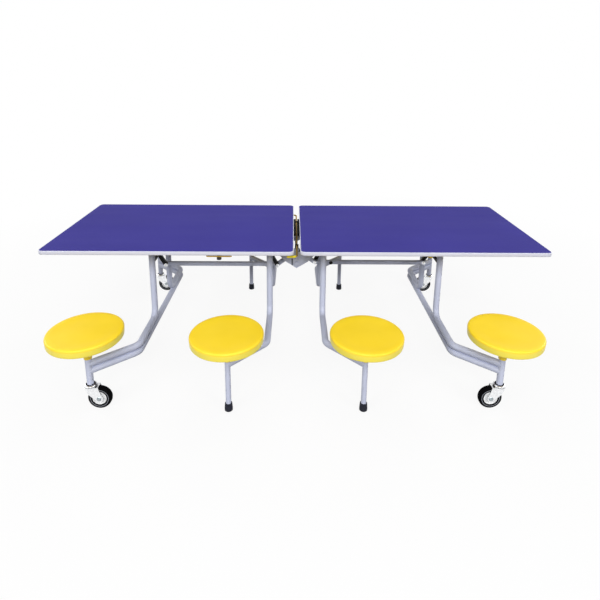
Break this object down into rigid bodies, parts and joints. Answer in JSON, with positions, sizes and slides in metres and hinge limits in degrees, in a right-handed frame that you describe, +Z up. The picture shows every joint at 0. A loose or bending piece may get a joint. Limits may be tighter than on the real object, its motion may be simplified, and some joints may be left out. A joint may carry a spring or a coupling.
{
  "type": "folding table with attached swivel seats",
  "caption": "Long folding table with a split top hinged in the middle, round swivel seats on bent tube frames, casters at the outer ends and rubber feet near the centre.",
  "frame": {"origin": "on the floor under the middle of the table", "axes": "+X along the table to the right, +Y away from the viewer, +Z up"},
  "size_m": [2.44, 1.55, 0.681],
  "materials": {
    "core": "raw particle board",
    "laminate": "satin blue laminate",
    "edge_band": "smooth white",
    "bracket_steel": "grey paint",
    "fastener": "plain zinc",
    "rubber": "moulded",
    "tube": "silver paint",
    "black_steel": "black paint",
    "seat": "moulded yellow",
    "caster_zinc": "bright zinc",
    "wheel_hub": "pale grey",
    "tyre": "black",
    "yellow_steel": "yellow coat",
    "latch_gold": "yellow zinc"
  },
  "bodies": {
    "left_outer_frame": {"left_outer_lower_tube": "tube", "left_outer_leg_tubes": "tube", "left_outer_posts": "tube", "left_outer_crossbar": "black_steel"},
    "left_top": {"left_top_board": "core", "left_top_laminate": "laminate", "left_edge_band": "edge_band", "left_pivot_brackets": "bracket_steel", "left_hinge_plates": "bracket_steel", "left_bracket_screws": "fastener", "left_pivot_bolts": "fastener", "left_edge_bumper": "rubber", "hinge_shaft": "bracket_steel", "latch_base": "black_steel"},
    "left_inner_frame": {"left_inner_leg_tubes": "tube", "left_inner_posts": "tube", "left_inner_crossbar": "black_steel", "left_inner_feet": "rubber"},
    "left_stretcher": {"left_stretcher": "tube", "left_stretcher_lugs": "tube"},
    "left_outer_front_seat": {"left_outer_front_seat": "seat"},
    "left_inner_front_seat": {"left_inner_front_seat": "seat"},
    "left_front_fork": {"left_front_caster_fork": "caster_zinc"},
    "left_front_wheel": {"left_front_wheel_hub": "wheel_hub", "left_front_tyre": "tyre"},
    "left_outer_rear_seat": {"left_outer_rear_seat": "seat"},
    "left_inner_rear_seat": {"left_inner_rear_seat": "seat"},
    "left_rear_fork": {"left_rear_caster_fork": "caster_zinc"},
    "left_rear_wheel": {"left_rear_wheel_hub": "wheel_hub", "left_rear_tyre": "tyre"},
    "right_outer_frame": {"right_outer_lower_tube": "tube", "right_outer_leg_tubes": "tube", "right_outer_posts": "tube", "right_outer_crossbar": "black_steel"},
    "right_top": {"right_top_board": "core", "right_top_laminate": "laminate", "right_edge_band": "edge_band", "right_pivot_brackets": "bracket_steel", "right_hinge_plates": "bracket_steel", "right_bracket_screws": "fastener", "right_pivot_bolts": "fastener", "right_edge_bumper": "rubber"},
    "right_inner_frame": {"right_inner_leg_tubes": "tube", "right_inner_posts": "tube", "right_inner_crossbar": "black_steel", "right_inner_feet": "rubber"},
    "right_stretcher": {"right_stretcher": "tube", "right_stretcher_lugs": "tube"},
    "right_outer_front_seat": {"right_outer_front_seat": "seat"},
    "right_inner_front_seat": {"right_inner_front_seat": "seat"},
    "right_front_fork": {"right_front_caster_fork": "caster_zinc"},
    "right_front_wheel": {"right_front_wheel_hub": "wheel_hub", "right_front_tyre": "tyre"},
    "right_outer_rear_seat": {"right_outer_rear_seat": "seat"},
    "right_inner_rear_seat": {"right_inner_rear_seat": "seat"},
    "right_rear_fork": {"right_rear_caster_fork": "caster_zinc"},
    "right_rear_wheel": {"right_rear_wheel_hub": "wheel_hub", "right_rear_tyre": "tyre"},
    "release_rod": {"release_rod": "yellow_steel"},
    "latch_bar": {"latch_bar": "latch_gold"}
  },
  "joints": [
    {"name": "left_fold", "type": "hinge", "parent": "left_outer_frame", "child": "left_top", "pos_m": [-0.756, 0, 0.632], "axis": [0, -1, 0], "range_deg": [0, 90]},
    {"name": "left_inner_pivot", "type": "hinge", "parent": "left_top", "child": "left_inner_frame", "pos_m": [-0.141, 0, 0.632], "axis": [0, -1, 0], "range_deg": [-90, 0]},
    {"name": "left_stretcher_pivot", "type": "hinge", "parent": "left_outer_frame", "child": "left_stretcher", "pos_m": [-0.756, -0.032, 0.525], "axis": [0, -1, 0], "range_deg": [0, 90]},
    {"name": "centre_hinge", "type": "hinge", "parent": "left_top", "child": "right_top", "pos_m": [0, 0, 0.538], "axis": [0, -1, 0], "range_deg": [-180, 0]},
    {"name": "right_inner_pivot", "type": "hinge", "parent": "right_top", "child": "right_inner_frame", "pos_m": [0.141, 0, 0.632], "axis": [0, -1, 0], "range_deg": [0, 90]},
    {"name": "right_outer_pivot", "type": "hinge", "parent": "right_top", "child": "right_outer_frame", "pos_m": [0.756, 0, 0.632], "axis": [0, -1, 0], "range_deg": [0, 90]},
    {"name": "right_stretcher_pivot", "type": "hinge", "parent": "right_outer_frame", "child": "right_stretcher", "pos_m": [0.756, 0.032, 0.525], "axis": [0, -1, 0], "range_deg": [-90, 0]},
    {"name": "release_turn", "type": "hinge", "parent": "left_top", "child": "release_rod", "pos_m": [0, 0, 0.634], "axis": [0, 1, 0], "range_deg": [0, 20]},
    {"name": "latch_turn", "type": "hinge", "parent": "left_top", "child": "latch_bar", "pos_m": [-0.394, -0.225, 0.6], "axis": [0, 0, 1], "range_deg": [0, 90]},
    {"name": "left_outer_front_seat_swivel", "type": "hinge", "parent": "left_outer_frame", "child": "left_outer_front_seat", "pos_m": [-0.935, -0.59, 0.3], "axis": [0, 0, 1], "continuous": true},
    {"name": "left_inner_front_seat_swivel", "type": "hinge", "parent": "left_inner_frame", "child": "left_inner_front_seat", "pos_m": [-0.3085, -0.611, 0.3], "axis": [0, 0, 1], "continuous": true},
    {"name": "left_front_caster_swivel", "type": "hinge", "parent": "left_outer_frame", "child": "left_front_fork", "pos_m": [-0.935, -0.59, 0.13], "axis": [0, 0, 1], "continuous": true},
    {"name": "left_front_wheel_spin", "type": "hinge", "parent": "left_front_fork", "child": "left_front_wheel", "pos_m": [-0.896, -0.59, 0.0535], "axis": [0, 1, 0], "continuous": true},
    {"name": "left_outer_rear_seat_swivel", "type": "hinge", "parent": "left_outer_frame", "child": "left_outer_rear_seat", "pos_m": [-0.935, 0.59, 0.3], "axis": [0, 0, 1], "continuous": true},
    {"name": "left_inner_rear_seat_swivel", "type": "hinge", "parent": "left_inner_frame", "child": "left_inner_rear_seat", "pos_m": [-0.3085, 0.611, 0.3], "axis": [0, 0, 1], "continuous": true},
    {"name": "left_rear_caster_swivel", "type": "hinge", "parent": "left_outer_frame", "child": "left_rear_fork", "pos_m": [-0.935, 0.59, 0.13], "axis": [0, 0, 1], "continuous": true},
    {"name": "left_rear_wheel_spin", "type": "hinge", "parent": "left_rear_fork", "child": "left_rear_wheel", "pos_m": [-0.896, 0.59, 0.0535], "axis": [0, 1, 0], "continuous": true},
    {"name": "right_outer_front_seat_swivel", "type": "hinge", "parent": "right_outer_frame", "child": "right_outer_front_seat", "pos_m": [0.935, -0.59, 0.3], "axis": [0, 0, 1], "continuous": true},
    {"name": "right_inner_front_seat_swivel", "type": "hinge", "parent": "right_inner_frame", "child": "right_inner_front_seat", "pos_m": [0.3085, -0.611, 0.3], "axis": [0, 0, 1], "continuous": true},
    {"name": "right_front_caster_swivel", "type": "hinge", "parent": "right_outer_frame", "child": "right_front_fork", "pos_m": [0.935, -0.59, 0.13], "axis": [0, 0, 1], "continuous": true},
    {"name": "right_front_wheel_spin", "type": "hinge", "parent": "right_front_fork", "child": "right_front_wheel", "pos_m": [0.896, -0.59, 0.0535], "axis": [0, 1, 0], "continuous": true},
    {"name": "right_outer_rear_seat_swivel", "type": "hinge", "parent": "right_outer_frame", "child": "right_outer_rear_seat", "pos_m": [0.935, 0.59, 0.3], "axis": [0, 0, 1], "continuous": true},
    {"name": "right_inner_rear_seat_swivel", "type": "hinge", "parent": "right_inner_frame", "child": "right_inner_rear_seat", "pos_m": [0.3085, 0.611, 0.3], "axis": [0, 0, 1], "continuous": true},
    {"name": "right_rear_caster_swivel", "type": "hinge", "parent": "right_outer_frame", "child": "right_rear_fork", "pos_m": [0.935, 0.59, 0.13], "axis": [0, 0, 1], "continuous": true},
    {"name": "right_rear_wheel_spin", "type": "hinge", "parent": "right_rear_fork", "child": "right_rear_wheel", "pos_m": [0.896, 0.59, 0.0535], "axis": [0, 1, 0], "continuous": true}
  ],
  "couplings": [
    {"joint": "left_inner_pivot", "follows": "left_fold", "ratio": -1},
    {"joint": "left_stretcher_pivot", "follows": "left_fold", "ratio": 1},
    {"joint": "centre_hinge", "follows": "left_fold", "ratio": -2},
    {"joint": "right_inner_pivot", "follows": "left_fold", "ratio": 1},
    {"joint": "right_outer_pivot", "follows": "left_fold", "ratio": 1},
    {"joint": "right_stretcher_pivot", "follows": "left_fold", "ratio": -1}
  ]
}
